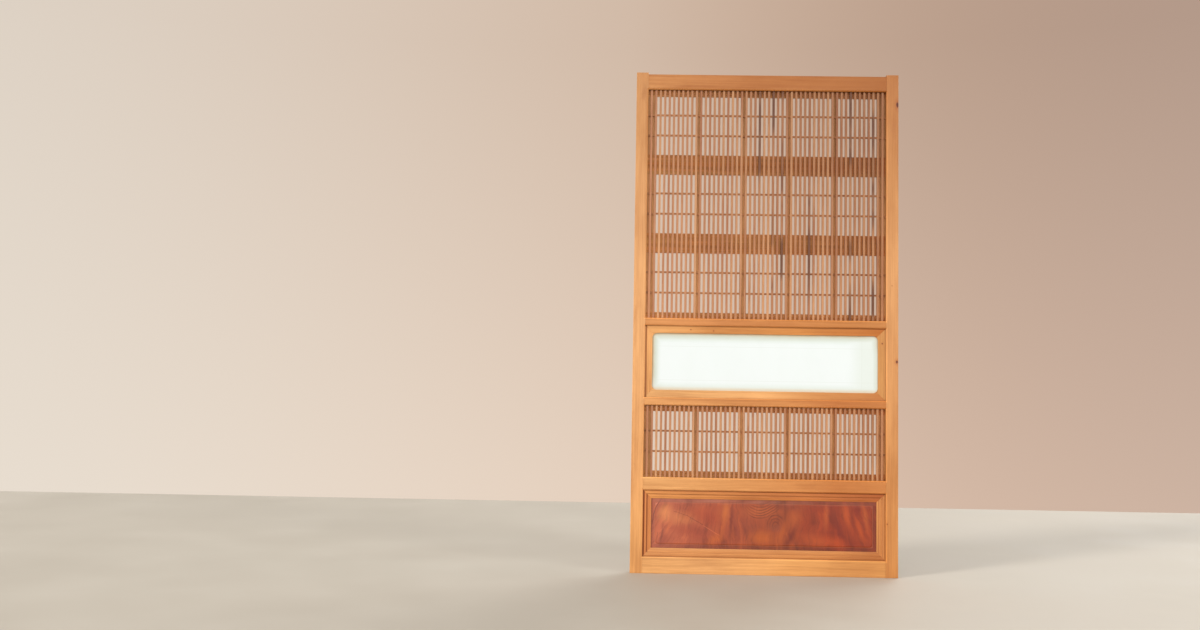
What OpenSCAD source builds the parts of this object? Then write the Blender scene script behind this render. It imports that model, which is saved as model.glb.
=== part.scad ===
// Sliding lattice screen, one leaf. Two stiles and five rails hold, from the top down, a tall
// lattice, a glass light, a low lattice and a raised wood panel. X runs across the leaf, Y runs
// through its thickness with the show face towards -Y, and Z is up. The origin is at the middle
// of the foot of the leaf. All sizes are in millimetres.

/* [Leaf] */
// Width over both stiles
screen_w = 915; // [720:5:1150]
// Height over the stiles
screen_h = 1740; // [1400:5:2150]

/* [Stiles] */
// Width of each stile across the face
stile_w = 41.5; // [38:0.5:60]
// Thickness of each stile
stile_t = 33; // [31:0.5:45]
// Height of each stile above the top rail
horn_h = 6; // [1:0.5:25]
// Sawn corner taken off the long outer edges of the stiles
stile_arris = 1; // [0.5:0.1:2]

/* [Rails] */
// Height of the top rail
top_rail_h = 53; // [36:1:80]
// Height of the rail under the tall lattice
upper_rail_h = 26; // [22:1:45]
// Height of the rail under the glass light
lower_rail_h = 27; // [22:1:45]
// Height of the rail over the wood panel
panel_rail_h = 44; // [30:1:70]
// Height of the bottom rail
bottom_rail_h = 56; // [36:1:100]
// Distance of the rail faces behind the stile faces
rail_setback = 1; // [0:0.1:2]
// Width and depth of the bevel round every opening, measured at the stile face
bevel = 4.2; // [3:0.1:6]
// Straight drop from the foot of the bevel to the faces of the lattice, surround and moulding
reveal = 4.5; // [3:0.5:6]

/* [Openings] */
// Height of the wood panel's opening
panel_opening_h = 228; // [150:1:320]
// Height of the low lattice
lower_lattice_h = 247; // [180:1:330]
// Height of the glass light's opening
glass_opening_h = 249; // [180:1:330]

/* [Lattice] */
// Bays across each lattice
bays = 5; // [4:1:6]
// Slats in each inner bay; the two end bays hold one more
slats_per_bay = 10; // [8:1:11]
// Width of each upright slat
slat_w = 7.6; // [6:0.1:9]
// Depth of each upright slat
slat_d = 10; // [8:0.5:12]
// Corner taken off the two front edges of a slat
slat_arris = 0.6; // [0.3:0.1:1]
// Height of each thin cross bar
muntin_h = 6.5; // [4:0.5:9]
// Depth of each thin cross bar
muntin_d = 5; // [3:0.5:6]
// Width of the posts behind the slats
post_w = 18; // [15:1:26]
// Depth of the posts and boards behind the slats
backing_d = 10; // [8:0.5:12]
// Height of the two wide boards in the tall lattice
board_h = 69; // [40:1:80]
// Height of the narrow boards along the rails
strip_h = 21; // [14:1:30]

/* [Glass light] */
// Width of the surround across the face
surround_w = 26; // [20:1:36]
// Fall of the surround's face from its outer to its inner edge
surround_fall = 4; // [2:0.5:5]
// Radius of the glass light's corners
light_r = 17; // [10:1:30]
// Depth of the glass behind the outer edge of the surround
glass_depth = 6.8; // [6.5:0.1:8]
// Thickness of the glass
glass_t = 3; // [2:0.5:5]
// Cover of the surround over the edge of the glass
glass_lap = 8; // [5:0.5:10]

/* [Wood panel] */
// Depth of the panel's margin behind the face of the moulding
panel_depth = 7.8; // [7:0.1:9]
// Thickness of the panel at its margin
panel_t = 8; // [5:0.5:10]
// Height of the raised field above the margin
field_rise = 2; // [1:0.5:3]
// Width of the plain margin round the raised field
field_margin = 14; // [8:1:25]
// Radius of the raised field's corners
field_r = 12; // [4:1:20]
// Depth of the groove that takes the panel's edge
groove_depth = 6; // [3:0.5:6.5]

/* [Joints] */
// Length of the rail tenons
tenon_len = 28; // [15:1:32]
// Thickness of the rail tenons
tenon_t = 12; // [8:1:14]
// Height taken off the rail at each edge of a tenon
tenon_shoulder = 7; // [7:0.5:8]
// Length of the stub tenons on slats, posts, boards and cross bars
stub_len = 6; // [3:0.5:8]
// Thickness of the stub tenons on posts and boards
stub_t = 3; // [2:0.5:4]
// Amount that a stub tenon is narrower than its piece, at each edge
stub_shoulder = 1.3; // [0.5:0.1:2]
// Clearance round tenons and cross bars
joint_fit = 0.1; // [0.05:0.05:0.2]
// Room left at the end of each mortise, and round the edges of the glass and the panel
end_room = 0.8; // [0.5:0.1:1]

/* [Track edges] */
// Thickness of the tongue that runs in the track grooves
tongue_t = 20; // [15:0.5:24]
// Height of the rebate behind the top tongue
head_rebate_h = 15; // [8:0.5:20]
// Height of the rebate behind the foot
foot_rebate_h = 3; // [2:0.5:6]

/* [Hidden] */
$fn = 48;

// Across the leaf
opening_w = screen_w - 2 * stile_w;
slat_count = bays * slats_per_bay + 2;
slat_gap = (opening_w - slat_count * slat_w) / (slat_count + 1);
slat_pitch = slat_w + slat_gap;

// Through the leaf, from the show face to the back
face_y = -stile_t / 2;
rail_y = face_y + rail_setback;
rail_t = stile_t - 2 * rail_setback;
bevel_y = face_y + bevel;
slat_y = bevel_y + reveal;
backing_y = slat_y + slat_d;
muntin_y = backing_y - muntin_d;
lap_y = backing_y + backing_d / 2;
glass_y = slat_y + glass_depth;
bead_y = glass_y + glass_t;
bead_end_y = bead_y + backing_d;
panel_y = slat_y + panel_depth;
tongue_y = face_y + tongue_t;

// Up the leaf
panel_z = bottom_rail_h;
panel_rail_z = panel_z + panel_opening_h;
lower_lattice_z = panel_rail_z + panel_rail_h;
lower_rail_z = lower_lattice_z + lower_lattice_h;
glass_z = lower_rail_z + lower_rail_h;
upper_rail_z = glass_z + glass_opening_h;
upper_lattice_z = upper_rail_z + upper_rail_h;
top_rail_z = screen_h - horn_h - top_rail_h;
upper_lattice_h = top_rail_z - upper_lattice_z;

// Each rail and each opening as [lowest point, height]
RAILS = [
    [0, bottom_rail_h],
    [panel_rail_z, panel_rail_h],
    [lower_rail_z, lower_rail_h],
    [upper_rail_z, upper_rail_h],
    [top_rail_z, top_rail_h],
];
OPENINGS = [
    [panel_z, panel_opening_h],
    [lower_lattice_z, lower_lattice_h],
    [glass_z, glass_opening_h],
    [upper_lattice_z, upper_lattice_h],
];

// Each lattice as [lowest point, height, number of wide boards]
UPPER = [upper_lattice_z, upper_lattice_h, 2];
LOWER = [lower_lattice_z, lower_lattice_h, 0];

// Moulding round the wood panel: a quirk, a strip with its corners taken off, a ledge, and a
// slope down to a thin lip. Heights are over the panel's margin.
quirk_w = 3.5;
quirk_d = 1.5;
strip_w = 10;
strip_arris = 1;
ledge_w = 9;
ledge_h = 3.8;
slope_h = 3;
moulding_w = 29.5;
moulding_lip = 1.8;

// Over-length of a cut that has to run clear out of a solid
clear = 2;

// The glass surround is rebated at the back, and its corners reach in past its straight edge
rebate_w = glass_lap + end_room;
corner_reach = light_r * (1 - 1 / sqrt(2));
reach = surround_w + corner_reach + clear;

// Corner taken off the back of the glass bead
bead_chamfer = rebate_w / 3;

SIDES = ["bottom", "left", "top", "right"];
function numbered(name, count) = [for (i = [1 : count]) str(name, "_", i)];
function sided(name) = [for (side = SIDES) str(name, "_", side)];

frame_colour = [0.87, 0.63, 0.39];
lattice_colour = [0.73, 0.46, 0.31];
panel_colour = [0.62, 0.27, 0.17];
glass_colour = [0.90, 0.95, 0.92];

// Clear height between the boards of a lattice
function window_h(lattice) =
    (lattice[1] - 2 * strip_h - lattice[2] * board_h) / (lattice[2] + 1);

// Boards of a lattice from the foot up, each as [lowest point, height]
function boards(lattice) = concat(
    [[lattice[0], strip_h]],
    [for (i = [1 : 1 : lattice[2]])
        [lattice[0] + strip_h + i * window_h(lattice) + (i - 1) * board_h, board_h]],
    [[lattice[0] + lattice[1] - strip_h, strip_h]]
);

// Middle heights of the thin cross bars: two to a window, with three equal spaces
function cross_bars(lattice) =
    let (space = (window_h(lattice) - 2 * muntin_h) / 3)
    [for (i = [0 : lattice[2]], j = [1 : 2])
        lattice[0] + strip_h + i * (window_h(lattice) + board_h) + j * space + (j - 0.5) * muntin_h];

// Middle of slat k, and the first and last slat of a bay
function slat_x(k) = -opening_w / 2 + slat_gap + slat_w / 2 + k * slat_pitch;
function first_slat(bay) = bay == 0 ? 0 : bay * slats_per_bay + 1;
function last_slat(bay) = bay == bays - 1 ? slat_count - 1 : (bay + 1) * slats_per_bay;

// End posts reach from the stile to the middle of the second slat, inner posts close one gap
end_post_w = slat_gap * 2 + slat_w * 1.5;
function is_end(i) = i == 0 || i == bays;
function post_width(i) = is_end(i) ? end_post_w : post_w;
function post_x(i) =
    i == 0 ? (-opening_w + end_post_w) / 2 :
    i == bays ? (opening_w - end_post_w) / 2 :
    slat_x(i * slats_per_bay) + slat_pitch / 2;

// Length of one side of a frame that is w wide and h high
function side_length(side, w, h) = side % 2 == 0 ? w : h;

// ---- helpers ----

// A section drawn as [y, z] and run along X, centred on the middle of the leaf
module along_x(length) {
    translate([-length / 2, 0, 0])
        rotate([90, 0, 90])
            linear_extrude(length) children();
}

// A face drawn as [x, z] and given thickness from y0 to y1
module through_y(y0, y1) {
    translate([0, y1, 0])
        rotate([90, 0, 0])
            linear_extrude(y1 - y0) children();
}

// A block centred on x, from y and z upwards
module block(x, y, z, size) {
    translate([x - size[0] / 2, y, z]) cube(size);
}

module rounded_rect(w, h, r) {
    square([w - 2 * r, h], center = true);
    square([w, h - 2 * r], center = true);
    for (sx = [-1, 1], sz = [-1, 1])
        translate([sx * (w / 2 - r), sz * (h / 2 - r)]) circle(r);
}

// Section of the 45 degree bevel on both edges of a span, as [depth, along]
module bevel_section(low, high) {
    polygon([
        [bevel_y, low],
        [face_y - clear, low - bevel - clear],
        [face_y - clear, high + bevel + clear],
        [bevel_y, high],
    ]);
}

// Bevel round one opening, mitred at its corners
module opening_bevel(opening) {
    intersection() {
        along_x(screen_w) bevel_section(opening[0], opening[0] + opening[1]);
        translate([0, 0, opening[0] - bevel - clear])
            linear_extrude(opening[1] + 2 * (bevel + clear))
                mirror([1, -1]) bevel_section(-opening_w / 2, opening_w / 2);
    }
}

// Rebates behind the top and the foot that leave the track tongues
module track_rebates() {
    block(0, tongue_y, screen_h - head_rebate_h, [screen_w + clear, stile_t, head_rebate_h + clear]);
    block(0, tongue_y, -clear, [screen_w + clear, stile_t, foot_rebate_h + clear]);
}

// Groove in the frame that takes the edge of the wood panel
module panel_groove() {
    block(
        0, panel_y - joint_fit, panel_z - groove_depth,
        [opening_w + 2 * groove_depth, panel_t + 2 * joint_fit, panel_opening_h + 2 * groove_depth]
    );
}

// Puts a stick that lies along X, outer edge down, on one side of a frame w wide and h high
module on_side(side, w, h, z_mid) {
    translate([0, 0, z_mid])
        rotate([0, side * 90, 0])
            translate([0, 0, -side_length(side + 1, w, h) / 2]) children();
}

// A section run along X with both ends mitred
module mitred_stick(length, width) {
    intersection() {
        along_x(length) children();
        through_y(-stile_t, stile_t)
            polygon([
                [-length / 2, 0],
                [length / 2, 0],
                [length / 2 - width, width],
                [-length / 2 + width, width],
            ]);
    }
}

// ---- stiles and rails ----

// Tenon that runs through a rail from end to end; grow makes its mortise
module rail_tenon(rail, grow = 0) {
    block(
        0, -tenon_t / 2 - grow, rail[0] + tenon_shoulder - grow,
        [
            opening_w + 2 * tenon_len + (grow > 0 ? 2 * end_room : 0),
            tenon_t + 2 * grow,
            rail[1] - 2 * tenon_shoulder + 2 * grow,
        ]
    );
}

// Right-hand stile
module stile() {
    color(frame_colour)
        difference() {
            linear_extrude(screen_h)
                polygon([
                    [opening_w / 2, face_y],
                    [screen_w / 2 - stile_arris, face_y],
                    [screen_w / 2, face_y + stile_arris],
                    [screen_w / 2, -face_y - stile_arris],
                    [screen_w / 2 - stile_arris, -face_y],
                    [opening_w / 2 + stile_arris, -face_y],
                    [opening_w / 2, -face_y - stile_arris],
                ]);
            for (opening = OPENINGS) opening_bevel(opening);
            track_rebates();
            panel_groove();
            for (rail = RAILS) rail_tenon(rail, joint_fit);
            for (lattice = [UPPER, LOWER]) {
                for (z = cross_bars(lattice)) cross_bar_stick(z, joint_fit);
                for (board = boards(lattice)) board_stub(board, joint_fit);
            }
        }
}

module left_stile() {
    mirror([1, 0, 0]) stile();
}

module right_stile() {
    stile();
}

// A rail between the stiles, cut for whatever stands on it or hangs under it
module rail(rail) {
    color(frame_colour)
        difference() {
            union() {
                block(0, rail_y, rail[0], [opening_w, rail_t, rail[1]]);
                rail_tenon(rail);
            }
            for (opening = OPENINGS) opening_bevel(opening);
            track_rebates();
            panel_groove();
            children();
        }
}

// Mortises for the slats and posts of a lattice
module lattice_mortises(lattice) {
    for (k = [0 : slat_count - 1]) slat_stub(k, lattice, joint_fit);
    for (i = [0 : bays]) post_stub(i, lattice, joint_fit);
}

module bottom_rail() {
    rail(RAILS[0]);
}

module panel_rail() {
    rail(RAILS[1]) lattice_mortises(LOWER);
}

module lower_middle_rail() {
    rail(RAILS[2]) lattice_mortises(LOWER);
}

module upper_middle_rail() {
    rail(RAILS[3]) lattice_mortises(UPPER);
}

module top_rail() {
    rail(RAILS[4]) lattice_mortises(UPPER);
}

// ---- lattice ----

// Stub tenons at both ends of slat k; grow makes their mortises
module slat_stub(k, lattice, grow = 0) {
    room = stub_len + (grow > 0 ? end_room : 0);
    block(
        slat_x(k), slat_y + stub_shoulder - grow, lattice[0] - room,
        [
            slat_w - 2 * stub_shoulder + 2 * grow,
            slat_d - 2 * stub_shoulder + 2 * grow,
            lattice[1] + 2 * room,
        ]
    );
}

// One upright slat, notched at the back where the cross bars pass
module slat(k, lattice) {
    difference() {
        union() {
            translate([slat_x(k), 0, lattice[0]])
                linear_extrude(lattice[1])
                    polygon([
                        [-slat_w / 2, backing_y],
                        [-slat_w / 2, slat_y + slat_arris],
                        [-slat_w / 2 + slat_arris, slat_y],
                        [slat_w / 2 - slat_arris, slat_y],
                        [slat_w / 2, slat_y + slat_arris],
                        [slat_w / 2, backing_y],
                    ]);
            slat_stub(k, lattice);
        }
        for (z = cross_bars(lattice))
            block(
                slat_x(k), muntin_y, z - muntin_h / 2 - joint_fit,
                [slat_pitch, muntin_d + clear, muntin_h + 2 * joint_fit]
            );
    }
}

// The slats of one bay, side by side
module slats(bay, lattice) {
    color(lattice_colour)
        for (k = [first_slat(bay) : last_slat(bay)]) slat(k, lattice);
}

// Thin bar from stile to stile; grow makes its mortises
module cross_bar_stick(z, grow = 0) {
    block(
        0, muntin_y - grow, z - muntin_h / 2 - grow,
        [
            opening_w + 2 * stub_len + (grow > 0 ? 2 * end_room : 0),
            muntin_d + 2 * grow,
            muntin_h + 2 * grow,
        ]
    );
}

module cross_bar(z) {
    color(lattice_colour) cross_bar_stick(z);
}

// Stub tenons of post i, in its back half; grow makes their mortises
module post_stub(i, lattice, grow = 0) {
    room = stub_len + (grow > 0 ? end_room : 0);
    block(
        post_x(i), lap_y + (backing_d / 2 - stub_t) / 2 - grow, lattice[0] - room,
        [post_width(i) - 2 * stub_shoulder + 2 * grow, stub_t + 2 * grow, lattice[1] + 2 * room]
    );
}

// Upright post behind the slats, its front half cut away where the boards cross
module post(i, lattice) {
    color(lattice_colour)
        difference() {
            union() {
                block(post_x(i), backing_y, lattice[0], [post_width(i), backing_d, lattice[1]]);
                post_stub(i, lattice);
            }
            for (board = boards(lattice))
                block(
                    post_x(i), backing_y - clear, board[0],
                    [post_width(i) + clear, backing_d / 2 + clear, board[1]]
                );
        }
}

// Stub tenons of a board, in its front half; grow makes their mortises
module board_stub(board, grow = 0) {
    block(
        0, backing_y + (backing_d / 2 - stub_t) / 2 - grow, board[0] + stub_shoulder - grow,
        [
            opening_w + 2 * stub_len + (grow > 0 ? 2 * end_room : 0),
            stub_t + 2 * grow,
            board[1] - 2 * stub_shoulder + 2 * grow,
        ]
    );
}

// Level board behind the slats, its back half cut away where the posts cross
module lattice_board(board) {
    color(lattice_colour)
        difference() {
            union() {
                block(0, backing_y, board[0], [opening_w, backing_d, board[1]]);
                board_stub(board);
            }
            for (i = [0 : bays])
                block(post_x(i), lap_y, board[0] - clear, [post_width(i), backing_d, board[1] + 2 * clear]);
        }
}

// ---- glass light ----

// One side of the surround: its face falls towards the glass and its back is rebated for it
module glass_surround(side) {
    z_mid = glass_z + glass_opening_h / 2;
    color(frame_colour)
        difference() {
            on_side(side, opening_w, glass_opening_h, z_mid)
                mitred_stick(side_length(side, opening_w, glass_opening_h), reach)
                    polygon([
                        [bead_end_y, 0],
                        [slat_y, 0],
                        [slat_y + surround_fall * reach / surround_w, reach],
                        [glass_y, reach],
                        [glass_y, surround_w - rebate_w],
                        [bead_end_y, surround_w - rebate_w],
                    ]);
            translate([0, 0, z_mid])
                through_y(face_y - clear, glass_y + clear)
                    rounded_rect(opening_w - 2 * surround_w, glass_opening_h - 2 * surround_w, light_r);
        }
}

// One side of the loose bead that holds the glass from the back
module glass_bead(side) {
    inset = surround_w - rebate_w;
    w = opening_w - 2 * inset;
    h = glass_opening_h - 2 * inset;
    color(frame_colour)
        on_side(side, w, h, glass_z + glass_opening_h / 2)
            mitred_stick(side_length(side, w, h), rebate_w)
                polygon([
                    [bead_y, 0],
                    [bead_y, rebate_w],
                    [bead_end_y - bead_chamfer, rebate_w],
                    [bead_end_y, rebate_w - bead_chamfer],
                    [bead_end_y, 0],
                ]);
}

module glass_pane() {
    inset = surround_w - glass_lap;
    color(glass_colour)
        block(
            0, glass_y, glass_z + inset,
            [opening_w - 2 * inset, glass_t, glass_opening_h - 2 * inset]
        );
}

// ---- wood panel ----

// Board with a raised field, its edges held in the frame's groove
module panel_board() {
    lap = groove_depth - end_room;
    inset = moulding_w + field_margin;
    color(panel_colour) {
        block(0, panel_y, panel_z - lap, [opening_w + 2 * lap, panel_t, panel_opening_h + 2 * lap]);
        translate([0, 0, panel_z + panel_opening_h / 2])
            through_y(panel_y - field_rise, panel_y)
                rounded_rect(opening_w - 2 * inset, panel_opening_h - 2 * inset, field_r);
    }
}

// One side of the moulding
module panel_moulding(side) {
    strip_z = quirk_w + strip_w;
    ledge_y = panel_y - ledge_h;
    slope_z = strip_z + ledge_w;
    color(frame_colour)
        on_side(side, opening_w, panel_opening_h, panel_z + panel_opening_h / 2)
            mitred_stick(side_length(side, opening_w, panel_opening_h), moulding_w)
                polygon([
                    [panel_y, 0],
                    [slat_y + quirk_d, 0],
                    [slat_y + quirk_d, quirk_w],
                    [slat_y + strip_arris, quirk_w],
                    [slat_y, quirk_w + strip_arris],
                    [slat_y, strip_z - strip_arris],
                    [slat_y + strip_arris, strip_z],
                    [ledge_y, strip_z],
                    [ledge_y, slope_z],
                    [panel_y - slope_h, slope_z],
                    [panel_y - moulding_lip, moulding_w],
                    [panel_y, moulding_w],
                ]);
}

// ---- the leaf ----

left_stile();
right_stile();
bottom_rail();
panel_rail();
lower_middle_rail();
upper_middle_rail();
top_rail();
for (i = [1 : bays]) {
    slats(i - 1, UPPER);
    slats(i - 1, LOWER);
}
for (i = [1 : len(cross_bars(UPPER))])
    cross_bar(cross_bars(UPPER)[i - 1]);
for (i = [1 : len(cross_bars(LOWER))])
    cross_bar(cross_bars(LOWER)[i - 1]);
for (i = [1 : bays + 1]) {
    post(i - 1, UPPER);
    post(i - 1, LOWER);
}
for (i = [1 : len(boards(UPPER))])
    lattice_board(boards(UPPER)[i - 1]);
for (i = [1 : len(boards(LOWER))])
    lattice_board(boards(LOWER)[i - 1]);
for (side = [0 : 3]) {
    glass_surround(side);
    glass_bead(side);
    panel_moulding(side);
}
glass_pane();
panel_board();
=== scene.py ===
"""Looks of the sliding lattice screen: eased timber, figured panel, etched glass, floor, light and camera."""

import math

import bmesh
import bpy
from mathutils import Euler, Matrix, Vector


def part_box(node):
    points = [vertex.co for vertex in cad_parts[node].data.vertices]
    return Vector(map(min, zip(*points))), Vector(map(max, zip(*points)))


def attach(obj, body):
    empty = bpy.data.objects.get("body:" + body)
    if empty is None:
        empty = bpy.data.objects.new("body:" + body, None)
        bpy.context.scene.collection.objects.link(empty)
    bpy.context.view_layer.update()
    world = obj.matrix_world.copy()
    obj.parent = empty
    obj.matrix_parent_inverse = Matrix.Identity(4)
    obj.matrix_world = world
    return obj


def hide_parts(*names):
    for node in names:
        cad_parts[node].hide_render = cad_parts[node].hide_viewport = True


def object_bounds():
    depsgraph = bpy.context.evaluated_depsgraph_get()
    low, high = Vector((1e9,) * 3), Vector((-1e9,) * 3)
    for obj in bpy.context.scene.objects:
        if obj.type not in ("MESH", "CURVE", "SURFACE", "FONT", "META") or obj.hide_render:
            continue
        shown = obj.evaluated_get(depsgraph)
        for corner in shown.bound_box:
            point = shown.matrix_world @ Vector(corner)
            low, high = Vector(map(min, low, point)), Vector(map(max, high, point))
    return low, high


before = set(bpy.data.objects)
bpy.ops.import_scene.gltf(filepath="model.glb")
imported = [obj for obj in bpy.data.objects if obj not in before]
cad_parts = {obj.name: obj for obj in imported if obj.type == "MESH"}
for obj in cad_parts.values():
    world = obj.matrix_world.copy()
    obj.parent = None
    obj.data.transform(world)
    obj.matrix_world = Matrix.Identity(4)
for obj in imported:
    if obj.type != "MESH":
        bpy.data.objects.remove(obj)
cad_low, cad_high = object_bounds()
MM = 0.001

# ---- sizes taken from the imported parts, in metres ----

LEFT, RIGHT = cad_low.x, cad_high.x
FOOT = cad_low.z
# Openings as (x0, x1, z0, z1)
glass_opening = (
    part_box("glass_surround_left")[0].x,
    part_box("glass_surround_right")[1].x,
    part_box("glass_surround_bottom")[0].z,
    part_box("glass_surround_top")[1].z,
)
panel_opening = (
    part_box("panel_moulding_left")[0].x,
    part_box("panel_moulding_right")[1].x,
    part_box("panel_moulding_bottom")[0].z,
    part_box("panel_moulding_top")[1].z,
)
SURROUND_W = 26 * MM
LIGHT_R = 17 * MM
MOULDING_W = 29.5 * MM
FIELD_MARGIN = 14 * MM
FIELD_R = 12 * MM
FIELD_RISE = 2 * MM
FIELD_HALF_X = (panel_opening[1] - panel_opening[0]) / 2 - MOULDING_W - FIELD_MARGIN
FIELD_HALF_Z = (panel_opening[3] - panel_opening[2]) / 2 - MOULDING_W - FIELD_MARGIN


# ---- colour ----

# Brightness of a white surface that faces the studio light, and the sheen that lies over its colour
LIGHT_LEVEL = 1.13
SHEEN = 0.018


def linear(value):
    value /= 255
    return value / 12.92 if value <= 0.04045 else ((value + 0.055) / 1.055) ** 2.4


def shown(*shade):
    """Colour of something that gives its own light, from display values."""
    return (*(linear(value) for value in shade), 1)


def finish_colour(*shade):
    """Surface colour that shows as this display colour under the studio light."""
    return (*(max(linear(value) - SHEEN, 0.002) / LIGHT_LEVEL for value in shade), 1)


# ---- node building ----


class Nodes:
    """Adds nodes to one tree and sets or links their inputs."""

    def __init__(self, tree):
        self.tree = tree

    def fill(self, node, inputs):
        """Links the sockets among the inputs and sets the plain values."""
        for key, value in inputs.items():
            if isinstance(value, bpy.types.NodeSocket):
                self.tree.links.new(value, node.inputs[key])
            else:
                node.inputs[key].default_value = value
        return node

    def add(self, kind, inputs=None, **settings):
        node = self.tree.nodes.new("ShaderNode" + kind)
        for key, value in settings.items():
            setattr(node, key, value)
        return self.fill(node, inputs or {})

    def maths(self, operation, *values, clamp=False):
        inputs = dict(enumerate(values))
        return self.add("Math", inputs, operation=operation, use_clamp=clamp).outputs[0]

    def vector(self, operation, *values):
        node = self.add("VectorMath", dict(enumerate(values)), operation=operation)
        scalar = operation in ("LENGTH", "DISTANCE", "DOT_PRODUCT")
        return node.outputs["Value" if scalar else "Vector"]

    def scaled(self, vector, factors):
        return self.vector("MULTIPLY", vector, factors)

    def noise(self, vector, detail=2.0, roughness=0.5, output="Fac"):
        """Noise whose grain is set by scaling the vector."""
        inputs = {"Vector": vector, "Scale": 1.0, "Detail": detail, "Roughness": roughness}
        return self.add("TexNoise", inputs).outputs[output]

    def remap(self, value, low, high, to_low=0.0, to_high=1.0, smooth=True):
        inputs = {0: value, 1: low, 2: high, 3: to_low, 4: to_high}
        kind = "SMOOTHSTEP" if smooth else "LINEAR"
        return self.add("MapRange", inputs, interpolation_type=kind, clamp=True).outputs[0]

    def blend(self, factor, first, second, mode="MIX"):
        node = self.add("Mix", {0: factor, 6: first, 7: second}, data_type="RGBA", blend_type=mode)
        return node.outputs[2]

    def ramp(self, factor, stops, kind="LINEAR"):
        node = self.add("ValToRGB", {0: factor})
        band = node.color_ramp
        band.interpolation = kind
        while len(band.elements) < len(stops):
            band.elements.new(0.5)
        for element, (position, colour) in zip(band.elements, sorted(stops, key=lambda s: s[0])):
            element.position = position
            element.color = colour
        return node.outputs[0]

    def parts(self, vector):
        return self.add("SeparateXYZ", {0: vector}).outputs

    def joined(self, x, y, z):
        return self.add("CombineXYZ", {0: x, 1: y, 2: z}).outputs[0]

    def group(self, tree, inputs):
        node = self.add("Group")
        node.node_tree = tree
        return self.fill(node, inputs).outputs


SOCKETS = {"value": "NodeSocketFloat", "vector": "NodeSocketVector", "colour": "NodeSocketColor"}


def new_group(name, inputs, outputs):
    """An empty shader node group; gives its tree, its node builder, its inputs and its output node."""
    tree = bpy.data.node_groups.new(name, "ShaderNodeTree")
    for label, kind in inputs.items():
        tree.interface.new_socket(label, in_out="INPUT", socket_type=SOCKETS[kind])
    for label, kind in outputs.items():
        tree.interface.new_socket(label, in_out="OUTPUT", socket_type=SOCKETS[kind])
    nodes = Nodes(tree)
    entry = tree.nodes.new("NodeGroupInput")
    result = tree.nodes.new("NodeGroupOutput")
    return tree, nodes, entry.outputs, result


def set_outputs(tree, result, values):
    for label, socket in values.items():
        tree.links.new(socket, result.inputs[label])


# ---- shared effects ----


def make_planed_timber():
    """Softwood cut along the grain, which runs along Z: growth lines, streaks, fibre and pores."""
    tree, n, given, result = new_group(
        "planed_timber",
        {
            "Place": "vector",
            "Seed": "value",
            "Timber": "colour",
            "Late Wood": "colour",
            "Line Width": "value",
            "Lines": "value",
            "Streaks": "value",
            "Fibre": "value",
            "Clouds": "value",
        },
        {"Colour": "colour", "Roughness": "value", "Height": "value"},
    )
    seed = given["Seed"]
    shift = n.joined(seed, n.maths("MULTIPLY", seed, 0.37), n.maths("MULTIPLY", seed, 0.73))
    place = n.vector("ADD", given["Place"], shift)
    waver = n.noise(n.scaled(place, (9, 9, 1.6)), detail=2.0, output="Color")
    sway = n.scaled(n.vector("SUBTRACT", waver, (0.5, 0.5, 0.5)), (0.022, 0.022, 0.0))
    bent = n.vector("ADD", place, sway)

    # growth lines: cuts through wide rings whose heart lies outside the stick
    heart = n.scaled(n.vector("SUBTRACT", bent, shift), (1, 1, 0.012))
    heart = n.vector("ADD", heart, (0.061, 0.083, 0.0))
    radius = n.vector("LENGTH", heart)
    turns = n.maths("DIVIDE", radius, given["Line Width"])
    uneven = n.noise(n.joined(n.maths("MULTIPLY", turns, 0.21), 0.0, seed), detail=1.0)
    turns = n.maths("ADD", turns, n.maths("MULTIPLY", uneven, 2.4))
    saw = n.maths("FRACT", turns)
    line = n.maths("POWER", saw, 3.2)
    soft_edge = n.remap(saw, 0.93, 1.0, 1.0, 0.0)
    line = n.maths("MULTIPLY", line, soft_edge)

    streak = n.noise(n.scaled(bent, (130, 130, 2.6)), detail=4.0, roughness=0.62)
    streak = n.remap(streak, 0.34, 0.68)
    fibre = n.noise(n.scaled(bent, (820, 820, 14)), detail=3.0, roughness=0.7)
    fibre = n.remap(fibre, 0.36, 0.66)
    pore = n.noise(n.scaled(bent, (1900, 1900, 55)), detail=1.0, roughness=0.4)
    pore = n.remap(pore, 0.66, 0.76)
    cloud = n.noise(n.scaled(place, (11, 11, 3.1)), detail=3.0, roughness=0.55)
    cloud = n.remap(cloud, 0.32, 0.7)

    dark = n.maths("MULTIPLY", line, given["Lines"])
    dark = n.maths("ADD", dark, n.maths("MULTIPLY", streak, given["Streaks"]))
    dark = n.maths("ADD", dark, n.maths("MULTIPLY", fibre, given["Fibre"]))
    dark = n.maths("ADD", dark, n.maths("MULTIPLY", cloud, given["Clouds"]))
    pitted = n.maths("MULTIPLY", pore, n.maths("MULTIPLY", given["Fibre"], 0.8))
    dark = n.maths("ADD", dark, pitted, clamp=True)
    colour = n.blend(dark, given["Timber"], given["Late Wood"])

    rough = n.maths("ADD", n.maths("MULTIPLY", fibre, 0.12), n.maths("MULTIPLY", cloud, 0.10))
    rough = n.maths("SUBTRACT", n.maths("ADD", rough, 0.44), n.maths("MULTIPLY", line, 0.08))
    height = n.maths("SUBTRACT", n.maths("MULTIPLY", line, 0.35), n.maths("MULTIPLY", fibre, 0.45))
    height = n.maths("SUBTRACT", height, n.maths("MULTIPLY", pore, 0.6))
    set_outputs(tree, result, {"Colour": colour, "Roughness": rough, "Height": height})
    return tree


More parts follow.
